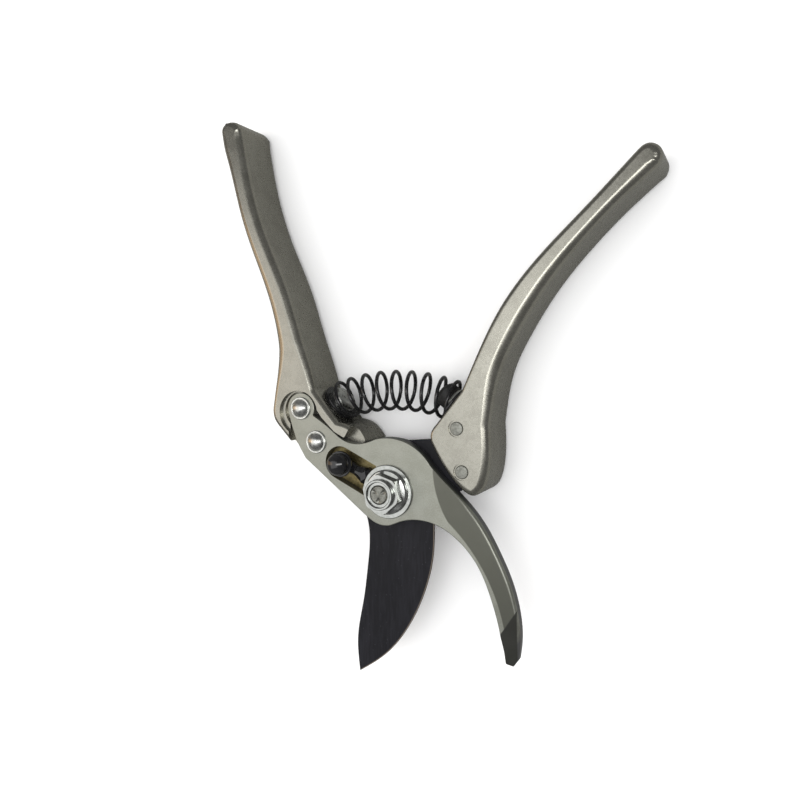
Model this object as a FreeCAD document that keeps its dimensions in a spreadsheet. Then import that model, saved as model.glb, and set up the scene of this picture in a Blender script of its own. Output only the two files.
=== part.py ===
import FreeCAD, Part
import math
import os
from FreeCAD import Vector

# Bypass pruning shears, held open. Millimetres.
# The origin is where the pivot axis meets the back of the pivot bolt's head.
# +Z runs along the pivot towards the nut, +Y towards the handles, +X towards the blade's handle.

SIZES = {
    # stack along the pivot
    "bolt_head_thickness": 4.0,
    "bolt_head_radius": 8.0,
    "bolt_shank_radius": 4.0,
    "pivot_fit": 0.05,
    "running_gap": 0.1,
    "blade_thickness": 3.5,
    "plate_thickness": 4.0,
    "handle_depth": 20.0,
    # jaws
    "blade_length": 54.3,
    "bevel_width": 5.0,
    "bevel_depth": 3.0,
    "hook_length": 42.9,
    "hook_edge_round": 0.9,
    "hub_radius": 17.2,
    "plate_head_radius": 17.8,
    # grips
    "left_grip_length": 88.5,
    "left_grip_angle": 107.0,
    "right_grip_length": 78.0,
    "right_grip_angle": 51.0,
    "grip_round": 2.6,
    "hub_clearance": 1.8,
    # rivets
    "dome_radius": 3.9,
    "dome_height": 2.2,
    "hook_rivet_shank": 2.5,
    "tail_radius": 2.25,
    "tail_ring_radius": 2.6,
    "tail_ring_depth": 0.35,
    "blade_rivet_head": 4.0,
    "rivet_head_height": 1.6,
    "rivet_fit": 0.02,
    "rivet_sink": 1.8,
    "rivet_sink_room": 0.3,
    "tail_drop": 0.05,
    "tail_chamfer": 0.4,
    # plate and its nest in the handle
    "plate_end_radius": 5.4,
    "nest_fit": 0.1,
    "nest_step": 1.1,
    "nest_lean": 0.9,
    "nest_bearing": 235.0,
    "tang_round": 5.4,
    "tang_fit": 0.05,
    "tang_end_room": 0.2,
    "tang_mouth_room": 0.4,
    # pivot hardware
    "washer_radius": 8.9,
    "washer_thickness": 0.8,
    "flange_radius": 7.4,
    "flange_thickness": 1.5,
    "hex_across_flats": 11.6,
    "hex_height": 3.6,
    "collar_radius": 5.0,
    "collar_height": 1.6,
    "bolt_end_radius": 3.2,
    "bolt_end_drop": 0.5,
    "bolt_end_chamfer": 0.5,
    "bolt_head_chamfer": 0.8,
    "washer_chamfer": 0.2,
    "flange_rim": 0.5,
    "flange_foot": 0.6,
    "hex_turn": 12.0,
    # lock
    "lock_angle": 155.0,
    "lock_travel": 3.0,
    "lock_slot_width": 11.2,
    "lock_slot_end": 20.1,
    "lock_slot_start": 7.4,
    "lock_knob_place": 19.4,
    "lock_arm_width": 6.0,
    "lock_arm_clearance": 0.3,
    "lock_arm_corner": 1.2,
    "lock_lug_span": 8.0,
    "lock_track_thickness": 0.5,
    "lock_pin_place": 10.6,
    "lock_pin_radius": 1.5,
    "lock_pin_clearance": 0.2,
    "lock_pin_foot": 0.3,
    "lock_track_fit": 0.05,
    "lock_knob_radius": 4.4,
    "lock_knob_height": 5.4,
    "lock_knob_lift": 0.3,
    "knob_collar_height": 1.0,
    "knob_waist_start": 1.3,
    "knob_waist_height": 0.4,
    "knob_waist_inset": 1.0,
    "knob_dome_inset": 0.7,
    "closing_angle": 50.0,
    # return spring and its seats
    "wire_radius": 0.6,
    "coil_radius": 6.1,
    "open_turns": 7.0,
    "seat_ring_radius": 6.9,
    "seat_ring_thickness": 1.6,
    "seat_ring_chamfer": 0.3,
    "peg_chamfer": 0.6,
    "bumper_chamfer": 1.0,
    "peg_radius": 4.6,
    "left_peg_length": 4.2,
    "right_peg_length": 3.2,
    "bumper_radius": 4.2,
    "bumper_length": 5.0,
    "spring_rise": 33.6,
}

# Fixed places in the plane of the shears, measured from the pivot axis.
HOOK_RIVETS = (Vector(-33.7, 26.5, 0), Vector(-27.5, 15.1, 0))
BLADE_RIVETS = (Vector(23.9, 21.8, 0), Vector(25.7, 8.1, 0))
LEFT_GRIP_START = Vector(-38.0, 42.0, 0)
RIGHT_GRIP_START = Vector(34.0, 42.0, 0)
LEFT_SEAT = Vector(-24.0, 27.6, 0)
LEFT_SEAT_ANGLE = 40.0
RIGHT_SEAT = Vector(21.3, 28.5, 0)
RIGHT_SEAT_ANGLE = 141.6
JAW_ROOT = -10.0
HOOK_ROOT = -9.2

doc = FreeCAD.newDocument("PruningShears")


def make_sheet():
    """The driving dimensions, one cell each with its own alias."""
    page = doc.addObject("Spreadsheet::Sheet", "dims")
    for row, (alias, value) in enumerate(SIZES.items(), start=1):
        page.set("A%d" % row, alias)
        page.set("B%d" % row, str(value))
        page.setAlias("B%d" % row, alias)
    doc.recompute()
    return page


sheet = make_sheet()
size = {alias: float(sheet.get(alias)) for alias in SIZES}

# Heights along the pivot, as expressions on the sheet and as numbers.
BLADE_BACK = "dims.bolt_head_thickness + dims.running_gap"
BLADE_FRONT = BLADE_BACK + " + dims.blade_thickness"
PLATE_BACK = BLADE_FRONT + " + dims.running_gap"
PLATE_FRONT = PLATE_BACK + " + dims.plate_thickness"
HANDLE_BACK = PLATE_FRONT + " - dims.handle_depth"
blade_back = size["bolt_head_thickness"] + size["running_gap"]
blade_front = blade_back + size["blade_thickness"]
plate_back = blade_front + size["running_gap"]
plate_front = plate_back + size["plate_thickness"]
handle_back = plate_front - size["handle_depth"]
handle_middle = (plate_front + handle_back) / 2
made = []


# ---------------------------------------------------------------- drawing helpers

def polar(radius, degrees, centre=Vector(0, 0, 0)):
    """The point at a radius and bearing from a centre."""
    angle = math.radians(degrees)
    return centre + Vector(radius * math.cos(angle), radius * math.sin(angle), 0)


def line(start, end):
    return Part.LineSegment(start, end)


def arc(centre, radius, first, last):
    """An arc about a centre, from one bearing to another, either way round."""
    middle = (first + last) / 2
    return Part.Arc(polar(radius, first, centre), polar(radius, middle, centre), polar(radius, last, centre))


def smooth(points):
    """One smooth curve through a few points."""
    curve = Part.BSplineCurve()
    curve.interpolate(points)
    return curve


def chain(points):
    """Straight lines through the points, in order."""
    return [line(a, b) for a, b in zip(points, points[1:])]


def circle(centre, radius):
    return Part.Circle(centre, Vector(0, 0, 1), radius)


def add_sketch(body, name, curves, height):
    """A sketch of the curves on the body's XY plane, lifted to a height on the sheet."""
    plane = [item for item in body.Origin.OriginFeatures if item.Role == "XY_Plane"][0]
    sketch = body.newObject("Sketcher::SketchObject", name)
    sketch.AttachmentSupport = [(plane, "")]
    sketch.MapMode = "FlatFace"
    sketch.setExpression("AttachmentOffset.Base.z", height)
    for curve in curves:
        sketch.addGeometry(curve, False)
    return sketch


def add_pad(body, name, curves, base, thickness):
    """Material from the base height upwards."""
    pad = body.newObject("PartDesign::Pad", name)
    pad.Profile = add_sketch(body, name + "_outline", curves, base)
    pad.setExpression("Length", thickness)
    doc.recompute()
    return pad


def add_pocket(body, name, curves, top, depth):
    """A cut from the top height downwards. It must take material away."""
    before = body.Shape.Volume
    pocket = body.newObject("PartDesign::Pocket", name)
    pocket.Profile = add_sketch(body, name + "_outline", curves, top)
    pocket.setExpression("Length", depth)
    doc.recompute()
    if body.Shape.Volume >= before:
        raise RuntimeError(name + " cuts nothing")
    return pocket


def add_round(body, name, edges, radius):
    """A fillet on the edges of the body's tip."""
    base = body.Tip
    fillet = body.newObject("PartDesign::Fillet", name)
    fillet.Base = (base, edges)
    fillet.setExpression("Radius", radius)
    doc.recompute()
    return fillet


def new_body(label):
    body = doc.addObject("PartDesign::Body", label)
    body.Label = label
    made.append(body)
    return body


def edges_at(shape, height, wanted):
    """Names of the edges that lie flat at a height and whose box passes a test."""
    names = []
    for number, edge in enumerate(shape.Edges, start=1):
        box = edge.BoundBox
        flat = abs(box.ZMin - height) < 0.001 and abs(box.ZMax - height) < 0.001
        if flat and wanted(box):
            names.append("Edge%d" % number)
    return names


def any_edge(box):
    return True


def grip_edge(box):
    """True for an edge that runs along a grip, past the spring seats."""
    return box.YMax > LEFT_GRIP_START.y + size["grip_round"]


def hook_outer_edge(box):
    """True for the one edge that runs from the hook's tip up its outer side."""
    return box.XMax > hook_point(44.4, 0).x and box.YMax > 0


def turned(label, profile, place, axis=Vector(0, 0, 1)):
    """A piece turned about an axis. The profile is closed, drawn as (radius, height) curves."""
    body = new_body(label)
    plane = [item for item in body.Origin.OriginFeatures if item.Role == "XZ_Plane"][0]
    sketch = body.newObject("Sketcher::SketchObject", label + "_profile")
    sketch.AttachmentSupport = [(plane, "")]
    sketch.MapMode = "FlatFace"
    for curve in profile:
        sketch.addGeometry(curve, False)
    spin = body.newObject("PartDesign::Revolution", label + "_turned")
    spin.Profile = sketch
    spin.ReferenceAxis = (sketch, ["V_Axis"])
    spin.Angle = 360
    body.Placement = FreeCAD.Placement(place, FreeCAD.Rotation(Vector(0, 0, 1), axis))
    doc.recompute()
    return body


def closed(points):
    """Straight sides through (radius, height) points, back to the first."""
    corners = [Vector(radius, height, 0) for radius, height in points]
    return chain(corners + corners[:1])


def cap(radius, base, height):
    """A domed cap on a flat base, from its rim to its top on the axis."""
    bulge = (radius * radius + height * height) / (2 * height)
    lean = math.degrees(math.asin(radius / bulge)) if height < radius else 90.0
    centre = Vector(0, base + height - bulge, 0)
    return arc(centre, bulge, 90.0 - lean, 90.0)


# ---------------------------------------------------------------- jaws

def blade_point(across, share):
    """A point on the blade: across in X, and a share of its length below the root."""
    return Vector(across, JAW_ROOT - share * size["blade_length"], 0)


def hook_point(across, share):
    """A point on the hook: across in X, and a share of its length below the root."""
    return Vector(across, HOOK_ROOT - share * size["hook_length"], 0)


def tang_stadium(grow):
    """The tang's end, which runs round both rivets."""
    upper, lower = BLADE_RIVETS
    radius = size["tang_round"] + grow
    way = lower - upper
    bearing = math.degrees(math.atan2(way.y, way.x))
    left = bearing - 90
    right = bearing + 90
    return [
        arc(upper, radius, left + 360, right),
        line(polar(radius, right, upper), polar(radius, right, lower)),
        arc(lower, radius, right, left),
        line(polar(radius, left, lower), polar(radius, left, upper)),
    ]


def tang_web(grow):
    """The part of the tang between the hub and its end, with straight sides."""
    corners = [
        Vector(0, size["hub_radius"] - 1 + grow, 0),
        Vector(15.0 - grow, 17.6 + grow, 0),
        Vector(19.8 - grow, 25.0, 0),
        Vector(26.0, 14.0, 0),
        Vector(24.0, 3.0 - grow, 0),
        Vector(6.0, -10.0 - grow, 0),
        Vector(0, 0, 0),
    ]
    return chain(corners + corners[:1])


def lock_window():
    """The window in the blade's hub: a wide arc for the pin, and a lug that makes the locking notch."""
    pin = size["lock_pin_radius"] + size["lock_pin_clearance"]
    inner = size["lock_pin_place"] - pin
    lug = size["lock_pin_place"] + pin
    outer = lug + size["lock_travel"]
    open_end = size["lock_angle"] + math.degrees(math.asin(pin / size["lock_pin_place"]))
    shut = size["lock_angle"] - size["closing_angle"]
    shut_end = shut - math.degrees(math.asin(pin / size["lock_pin_place"]))
    lug_near = shut + math.degrees(math.asin(pin / (lug - pin)))
    lug_far = lug_near + size["lock_lug_span"]
    origin = Vector(0, 0, 0)
    return [
        arc(origin, outer, open_end, lug_far),
        line(polar(outer, lug_far), polar(lug, lug_far)),
        arc(origin, lug, lug_far, lug_near),
        line(polar(lug, lug_near), polar(outer, lug_near)),
        arc(origin, outer, lug_near, shut_end),
        line(polar(outer, shut_end), polar(inner, shut_end)),
        arc(origin, inner, shut_end, open_end),
        line(polar(inner, open_end), polar(outer, open_end)),
    ]


def jaw_outline(inset):
    """The jaw and hub, with the cutting curve moved in from its edge by an inset."""
    hub = size["hub_radius"]
    tip = blade_point(-12.9 - 0.1 * inset, 1.0 - 0.012 * inset)
    back = [polar(hub, 172.0), Vector(-12.6, -4.5, 0), blade_point(-10.1, 0.0), blade_point(-9.9, 0.33),
            blade_point(-11.4, 0.53), blade_point(-13.7, 0.78), tip]
    edge = [tip, blade_point(-3.2 - 0.9 * inset, 0.865 - 0.008 * inset), blade_point(6.4 - inset, 0.635),
            blade_point(12.0 - inset, 0.40), blade_point(14.6 - inset, 0.18), blade_point(14.8 - inset, 0.0)]
    return [smooth(back), smooth(edge), line(edge[-1], polar(hub, -20.0)),
            arc(Vector(0, 0, 0), hub, -20.0, 172.0)]


def make_blade():
    """The blade: a round hub with the lock window, a jaw bevelled behind, and a tang for the rivets."""
    body = new_body("blade")
    bevel_top = BLADE_BACK + " + dims.bevel_depth"
    loft = body.newObject("PartDesign::AdditiveLoft", "blade_bevel")
    loft.Profile = add_sketch(body, "bevel_foot", jaw_outline(size["bevel_width"]), BLADE_BACK)
    loft.Sections = [add_sketch(body, "bevel_crest", jaw_outline(0.0), bevel_top)]
    loft.Ruled = True
    doc.recompute()
    add_pad(body, "blade_face", jaw_outline(0.0), bevel_top, "dims.blade_thickness - dims.bevel_depth")
    add_pad(body, "blade_tang", tang_stadium(0), BLADE_BACK, "dims.blade_thickness")
    add_pad(body, "blade_web", tang_web(0), BLADE_BACK, "dims.blade_thickness")
    holes = [circle(Vector(0, 0, 0), size["bolt_shank_radius"] + size["pivot_fit"])]
    for rivet in BLADE_RIVETS:
        holes.append(circle(rivet, size["tail_radius"] + size["rivet_fit"]))
    add_pocket(body, "blade_holes", holes + lock_window(), BLADE_FRONT, "dims.blade_thickness")


def plate_outline():
    """The hook plate's outline: rounded end, straight back, round head, and the hook."""
    end, rivet = HOOK_RIVETS[0], size["plate_end_radius"]
    head = size["plate_head_radius"]
    origin = Vector(0, 0, 0)
    left_end = polar(rivet, 195.0, end)
    right_end = polar(rivet, -25.0, end)
    back = [left_end, Vector(-35.2, 14.6, 0), Vector(-31.9, 9.2, 0)]
    under = [Vector(-8.9, -8.3, 0), Vector(-4.2, -11.1, 0), Vector(0.2, -11.4, 0), Vector(4.0, -9.9, 0),
             Vector(9.0, -8.7, 0), Vector(13.0, -8.7, 0), hook_point(17.2, 0.01), hook_point(25.7, 0.13),
             hook_point(30.9, 0.27), hook_point(35.5, 0.50), hook_point(38.6, 0.75), hook_point(40.1, 0.99)]
    tip = [under[-1], hook_point(42.6, 1.0), hook_point(44.4, 0.94)]
    outer = [tip[-1], hook_point(45.0, 0.80), hook_point(44.4, 0.62), hook_point(41.9, 0.40),
             hook_point(37.6, 0.18), Vector(31.9, -7.4, 0), Vector(25.6, -0.4, 0), Vector(19.0, 5.6, 0),
             polar(head, 33.0)]
    neck = [polar(head, 106.0), Vector(-8.0, 15.9, 0), Vector(-16.0, 15.9, 0), Vector(-22.2, 20.0, 0),
            right_end]
    return [
        arc(end, rivet, -25.0, 195.0),
        smooth(back),
        line(back[-1], under[0]),
        smooth(under),
        line(tip[0], tip[1]),
        line(tip[1], tip[2]),
        smooth(outer),
        arc(origin, head, 33.0, 106.0),
        smooth(neck),
    ]


def along_lock(distance, aside):
    """A point measured out from the pivot along the lock's line, and square to it."""
    return polar(distance, size["lock_angle"]) + polar(aside, size["lock_angle"] - 90)


def stadium_to_pivot(start, end, half, corner=0.0):
    """A slot along the lock's line: square at the start, round at the outer end."""
    bearing = size["lock_angle"]
    centre = polar(end, bearing)
    sides = [along_lock(end, -half), along_lock(start, -half), along_lock(start, half), along_lock(end, half)]
    if corner:
        cut = [along_lock(start + corner, -half), along_lock(start, -half + corner)]
        far = [along_lock(start, half - corner), along_lock(start + corner, half)]
        sides = [sides[0]] + cut + far + [sides[3]]
    return chain(sides) + [arc(centre, half, bearing - 90, bearing + 90)]


def make_hook_plate():
    """The hook plate, in front of the blade, with the pivot, rivet and lock openings."""
    body = new_body("hook_plate")
    add_pad(body, "plate_blank", plate_outline(), PLATE_BACK, "dims.plate_thickness")
    add_round(body, "plate_edge", edges_at(body.Shape, plate_front, hook_outer_edge), "dims.hook_edge_round")
    holes = [circle(Vector(0, 0, 0), size["bolt_shank_radius"] + size["pivot_fit"])]
    for rivet in HOOK_RIVETS:
        holes.append(circle(rivet, size["hook_rivet_shank"] + size["rivet_fit"]))
    slot = stadium_to_pivot(size["lock_slot_start"], size["lock_slot_end"], size["lock_slot_width"] / 2)
    add_pocket(body, "plate_holes", holes + slot, PLATE_FRONT, "dims.plate_thickness")


# ---------------------------------------------------------------- handles

def grip_point(start, degrees, length, share, aside):
    """A point on a grip: a share of its length from its start, and aside to its left."""
    return start + polar(share * length, degrees) + polar(aside, degrees + 90)


def left_grip(share, aside):
    return grip_point(LEFT_GRIP_START, size["left_grip_angle"], size["left_grip_length"], share, aside)


def right_grip(share, aside):
    return grip_point(RIGHT_GRIP_START, size["right_grip_angle"], size["right_grip_length"], share, aside)


def left_outline():
    """The hook handle: grip, pointed shoulder, a hollow for the blade's hub, lobe and spring seat."""
    hollow = size["hub_radius"] + size["hub_clearance"]
    seat = size["seat_ring_radius"]
    seat_top = polar(seat, LEFT_SEAT_ANGLE + 90, LEFT_SEAT)
    seat_foot = polar(seat, LEFT_SEAT_ANGLE - 90, LEFT_SEAT)
    outer = [left_grip(0.975, 4.4), left_grip(0.86, 4.9), left_grip(0.615, 5.2), left_grip(0.333, 3.2),
             left_grip(0.134, 3.6), left_grip(0.0, 6.6), Vector(-46.0, 25.6, 0)]
    shoulder = [outer[-1], Vector(-45.6, 22.8, 0), Vector(-43.7, 20.0, 0)]
    base = Vector(-35.5, 11.6, 0)
    lobe = [polar(hollow, 123.5), Vector(-11.6, 18.0, 0), Vector(-14.2, 20.6, 0), seat_foot]
    inner = [seat_top, left_grip(-0.03, -6.6), left_grip(0.076, -6.2), left_grip(0.288, -5.6),
             left_grip(0.533, -2.9), left_grip(0.735, -2.5), left_grip(0.965, -4.6)]
    crown = [inner[-1], left_grip(1.0, -3.0), left_grip(1.015, 0.6), left_grip(1.005, 3.0), outer[0]]
    return [
        smooth(outer),
        smooth(shoulder),
        line(shoulder[-1], base),
        line(base, Vector(-28.0, 7.6, 0)),
        line(Vector(-28.0, 7.6, 0), polar(hollow, 166.0)),
        arc(Vector(0, 0, 0), hollow, 166.0, 123.5),
        smooth(lobe),
        line(seat_foot, seat_top),
        smooth(inner),
        smooth(crown),
    ]


def right_outline():
    """The blade handle: grip, spring seat, pointed nose over the tang, and a full rounded heel."""
    seat = size["seat_ring_radius"]
    seat_top = polar(seat, RIGHT_SEAT_ANGLE - 90, RIGHT_SEAT)
    seat_foot = polar(seat, RIGHT_SEAT_ANGLE + 90, RIGHT_SEAT)
    inner = [seat_top, Vector(29.6, 43.4, 0), right_grip(0.186, 8.0), right_grip(0.414, 8.6),
             right_grip(0.684, 6.4), right_grip(0.94, 4.4)]
    crown = [inner[-1], right_grip(0.985, 3.4), right_grip(1.0, 0.6), right_grip(0.985, -2.0),
             right_grip(0.95, -3.2)]
    outer = [crown[-1], right_grip(0.75, -0.4), right_grip(0.587, 0.8), right_grip(0.384, 0.9),
             right_grip(0.166, -1.2), right_grip(0.04, -3.4), Vector(35.7, 31.7, 0), Vector(34.4, 22.9, 0)]
    heel = [outer[-1], Vector(34.7, 13.0, 0), Vector(33.8, 6.2, 0), Vector(31.6, 1.9, 0),
            Vector(28.6, 0.3, 0)]
    nose = [heel[-1], Vector(25.6, 2.2, 0), Vector(21.6, 6.4, 0), Vector(17.4, 12.6, 0),
            Vector(14.9, 17.4, 0)]
    tip = [nose[-1], Vector(14.9, 19.8, 0), seat_foot]
    return [
        smooth(inner),
        smooth(crown),
        smooth(outer),
        smooth(heel),
        smooth(nose),
        smooth(tip),
        line(seat_foot, seat_top),
    ]


def make_left_handle():
    """The handle riveted behind the hook plate, with the stepped nest that the plate's end lies in."""
    body = new_body("hook_handle")
    add_pad(body, "left_blank", left_outline(), HANDLE_BACK, "dims.handle_depth")
    rims = edges_at(body.Shape, plate_front, grip_edge) + edges_at(body.Shape, handle_back, grip_edge)
    add_round(body, "left_rounding", rims, "dims.grip_round")
    nest = size["plate_end_radius"] + size["nest_fit"]
    end = HOOK_RIVETS[0]
    for step, share in ((2, 0.3), (1, 0.6)):
        wider = step * size["nest_step"]
        centre = end + polar(wider * size["nest_lean"], size["nest_bearing"])
        add_pocket(body, "nest_step_%d" % step, [circle(centre, nest + wider)], PLATE_FRONT,
                   "dims.plate_thickness * %s" % share)
    left = polar(nest, 195.0, end)
    right = polar(nest, 10.0, end)
    floor = [left, Vector(-38.6, 12.6, 0), Vector(-30.0, 0.0, 0), Vector(0, 0, 0), Vector(0, 24.0, 0),
             Vector(-12.6, 24.0, 0), Vector(-16.6, 17.0, 0), Vector(-20.4, 18.9, 0),
             Vector(-25.4, 23.6, 0), right]
    add_pocket(body, "nest_floor", [arc(end, nest, 10.0, 195.0)] + chain(floor), PLATE_FRONT,
               "dims.plate_thickness")
    holes = [circle(rivet, size["hook_rivet_shank"] + size["rivet_fit"]) for rivet in HOOK_RIVETS]
    add_pocket(body, "left_rivet_holes", holes, PLATE_BACK, "dims.handle_depth")
    sinks = [circle(rivet, size["dome_radius"] + size["rivet_sink_room"]) for rivet in HOOK_RIVETS]
    add_pocket(body, "left_rivet_sinks", sinks, HANDLE_BACK + " + dims.rivet_sink", "dims.rivet_sink")


def make_right_handle():
    """The handle that holds the blade's tang in a slot behind its front wall."""
    body = new_body("blade_handle")
    add_pad(body, "right_blank", right_outline(), HANDLE_BACK, "dims.handle_depth")
    rims = edges_at(body.Shape, plate_front, any_edge) + edges_at(body.Shape, handle_back, any_edge)
    add_round(body, "right_rounding", rims, "dims.grip_round")
    slot_depth = "dims.blade_thickness + 2 * dims.tang_fit"
    slot_top = BLADE_FRONT + " + dims.tang_fit"
    add_pocket(body, "tang_slot_end", tang_stadium(size["tang_end_room"]), slot_top, slot_depth)
    add_pocket(body, "tang_slot_mouth", tang_web(size["tang_mouth_room"]), slot_top, slot_depth)
    holes = [circle(rivet, size["tail_radius"] + size["rivet_fit"]) for rivet in BLADE_RIVETS]
    add_pocket(body, "right_rivet_holes", holes, PLATE_FRONT, "dims.handle_depth")
    rings = [circle(rivet, size["tail_ring_radius"]) for rivet in BLADE_RIVETS]
    add_pocket(body, "tail_rings", rings, PLATE_FRONT, "dims.tail_ring_depth")
    sinks = [circle(rivet, size["blade_rivet_head"] + size["rivet_sink_room"]) for rivet in BLADE_RIVETS]
    add_pocket(body, "right_rivet_sinks", sinks, HANDLE_BACK + " + dims.rivet_sink", "dims.rivet_sink")


# ---------------------------------------------------------------- turned pieces

def low_dome(radius):
    """The domed back head of a rivet, from its lowest point on the axis out to its rim in the sink."""
    rim = handle_back + size["rivet_sink"]
    low = rim - size["rivet_head_height"]
    shoulder = Vector(radius * 0.62, rim - size["rivet_head_height"] * 0.75, 0)
    return [Part.Arc(Vector(0, low, 0), shoulder, Vector(radius, rim, 0))]


def make_hook_rivet(label, place):
    """A dome rivet: polished dome on the plate, shank through the handle, sunk head behind."""
    shank = size["hook_rivet_shank"]
    dome = size["dome_radius"]
    rim = handle_back + size["rivet_sink"]
    low = rim - size["rivet_head_height"]
    profile = [
        cap(dome, plate_front, size["dome_height"]),
        line(Vector(0, plate_front + size["dome_height"], 0), Vector(0, low, 0)),
        *low_dome(dome),
        *chain([Vector(dome, rim, 0), Vector(shank, rim, 0), Vector(shank, plate_front, 0),
                Vector(dome, plate_front, 0)]),
    ]
    turned(label, profile, place)


def make_blade_rivet(label, place):
    """A rivet with a domed head behind the handle and a flush peened tail in front."""
    shank = size["tail_radius"]
    head = size["blade_rivet_head"]
    rim = handle_back + size["rivet_sink"]
    low = rim - size["rivet_head_height"]
    top = plate_front - size["tail_drop"]
    bevel = size["tail_chamfer"]
    profile = [
        *low_dome(head),
        *chain([Vector(head, rim, 0), Vector(shank, rim, 0), Vector(shank, top - bevel, 0),
                Vector(shank - bevel, top, 0), Vector(0, top, 0), Vector(0, low, 0)]),
    ]
    turned(label, profile, place)


def make_pivot():
    """The pivot bolt, its washer and its flanged hex nut with a round collar."""
    washer_top = plate_front + size["washer_thickness"]
    flange_top = washer_top + size["flange_thickness"]
    hex_top = flange_top + size["hex_height"]
    collar_top = hex_top + size["collar_height"]
    shank = size["bolt_shank_radius"]
    head = size["bolt_head_radius"]
    end = size["bolt_end_radius"]
    bolt_top = collar_top - size["bolt_end_drop"]
    back_bevel = size["bolt_head_chamfer"]
    end_bevel = size["bolt_end_chamfer"]
    head_top = size["bolt_head_thickness"]
    bolt = [(0, 0), (head - back_bevel, 0), (head, back_bevel), (head, head_top), (shank, head_top),
            (shank, washer_top), (end, washer_top), (end, bolt_top - end_bevel),
            (end - end_bevel, bolt_top), (0, bolt_top)]
    turned("pivot_bolt", closed(bolt), Vector(0, 0, 0))
    hole = size["bolt_shank_radius"]
    rim = size["washer_radius"]
    bevel = size["washer_chamfer"]
    washer = [(hole, plate_front), (rim - bevel, plate_front), (rim, plate_front + bevel),
              (rim, washer_top - bevel), (rim - bevel, washer_top), (hole, washer_top)]
    turned("pivot_washer", closed(washer), Vector(0, 0, 0))
    nut = turned("pivot_nut", closed([(end, washer_top), (size["flange_radius"], washer_top),
                                      (size["flange_radius"], washer_top + size["flange_rim"]),
                                      (size["hex_across_flats"] / 2, flange_top),
                                      (end, flange_top)]), Vector(0, 0, 0))
    corner = size["hex_across_flats"] / math.sqrt(3)
    corners = [polar(corner, 60.0 * number + size["hex_turn"]) for number in range(7)]
    add_pad(nut, "nut_hex", chain(corners) + [circle(Vector(0, 0, 0), end)],
            PLATE_FRONT + " + dims.washer_thickness + dims.flange_thickness * dims.flange_foot",
            "dims.hex_height + dims.flange_thickness * (1 - dims.flange_foot)")
    add_pad(nut, "nut_collar", [circle(Vector(0, 0, 0), size["collar_radius"]), circle(Vector(0, 0, 0), end)],
            PLATE_FRONT + " + dims.washer_thickness + dims.flange_thickness + dims.hex_height",
            "dims.collar_height")


# ---------------------------------------------------------------- lock

def make_lock():
    """The lock: a track in the plate's slot, the catch, its knob and the pin that enters the blade."""
    half = size["lock_slot_width"] / 2
    track = new_body("lock_track")
    track_fit = size["lock_track_fit"]
    track_start = size["lock_slot_start"] + track_fit
    strip = stadium_to_pivot(track_start, size["lock_slot_end"], half - track_fit)
    add_pad(track, "track_strip", strip, PLATE_BACK, "dims.lock_track_thickness")
    pin_room = size["lock_pin_radius"] + size["lock_pin_clearance"]
    near = size["lock_pin_place"]
    add_pocket(track, "track_slot", stadium_to_pivot(near - pin_room, near + size["lock_travel"], pin_room),
               PLATE_BACK + " + dims.lock_track_thickness", "dims.lock_track_thickness")
    arm_half = size["lock_arm_width"] / 2
    slide = new_body("lock_slide")
    arm_base = PLATE_BACK + " + dims.lock_track_thickness + dims.running_gap"
    arm_start = size["lock_slot_start"] + size["lock_arm_clearance"]
    arm = stadium_to_pivot(arm_start, size["lock_knob_place"], arm_half, size["lock_arm_corner"])
    add_pad(slide, "slide_arm", arm, arm_base,
            "dims.plate_thickness - dims.lock_track_thickness - 2 * dims.running_gap")
    add_pocket(slide, "slide_pin_hole", [circle(polar(near, size["lock_angle"]), size["lock_pin_radius"])],
               PLATE_FRONT, "dims.plate_thickness")
    knob_place = polar(size["lock_knob_place"], size["lock_angle"])
    collar = size["lock_knob_radius"]
    tall = size["lock_knob_height"]
    waist = collar - size["knob_waist_inset"]
    dome = collar - size["knob_dome_inset"]
    stem = arm_half - size["running_gap"]
    collar_foot = plate_front + size["lock_knob_lift"]
    collar_top = collar_foot + size["knob_collar_height"]
    waist_foot = collar_foot + size["knob_waist_start"]
    waist_top = waist_foot + size["knob_waist_height"]
    dome_base = plate_front + tall * 0.5
    knob = [
        *chain([Vector(0, plate_front + tall, 0), Vector(0, plate_front, 0), Vector(stem, plate_front, 0),
                Vector(stem, collar_foot, 0), Vector(collar, collar_foot, 0), Vector(collar, collar_top, 0),
                Vector(waist, waist_foot, 0), Vector(waist, waist_top, 0), Vector(dome, dome_base, 0)]),
        cap(dome, dome_base, tall * 0.5),
    ]
    turned("lock_knob", knob, knob_place)
    pin_foot = blade_back + size["lock_pin_foot"]
    pin_top = plate_front - size["running_gap"]
    pin = size["lock_pin_radius"]
    turned("lock_pin", closed([(0, pin_foot), (pin, pin_foot), (pin, pin_top), (0, pin_top)]),
           polar(near, size["lock_angle"]))


# ---------------------------------------------------------------- spring

def seat_turned(label, profile, seat, degrees):
    """A turned piece that stands on a spring seat, with its axis square to the seat."""
    place = seat + Vector(0, 0, handle_middle)
    turned(label, profile, place, polar(1.0, degrees))


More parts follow.
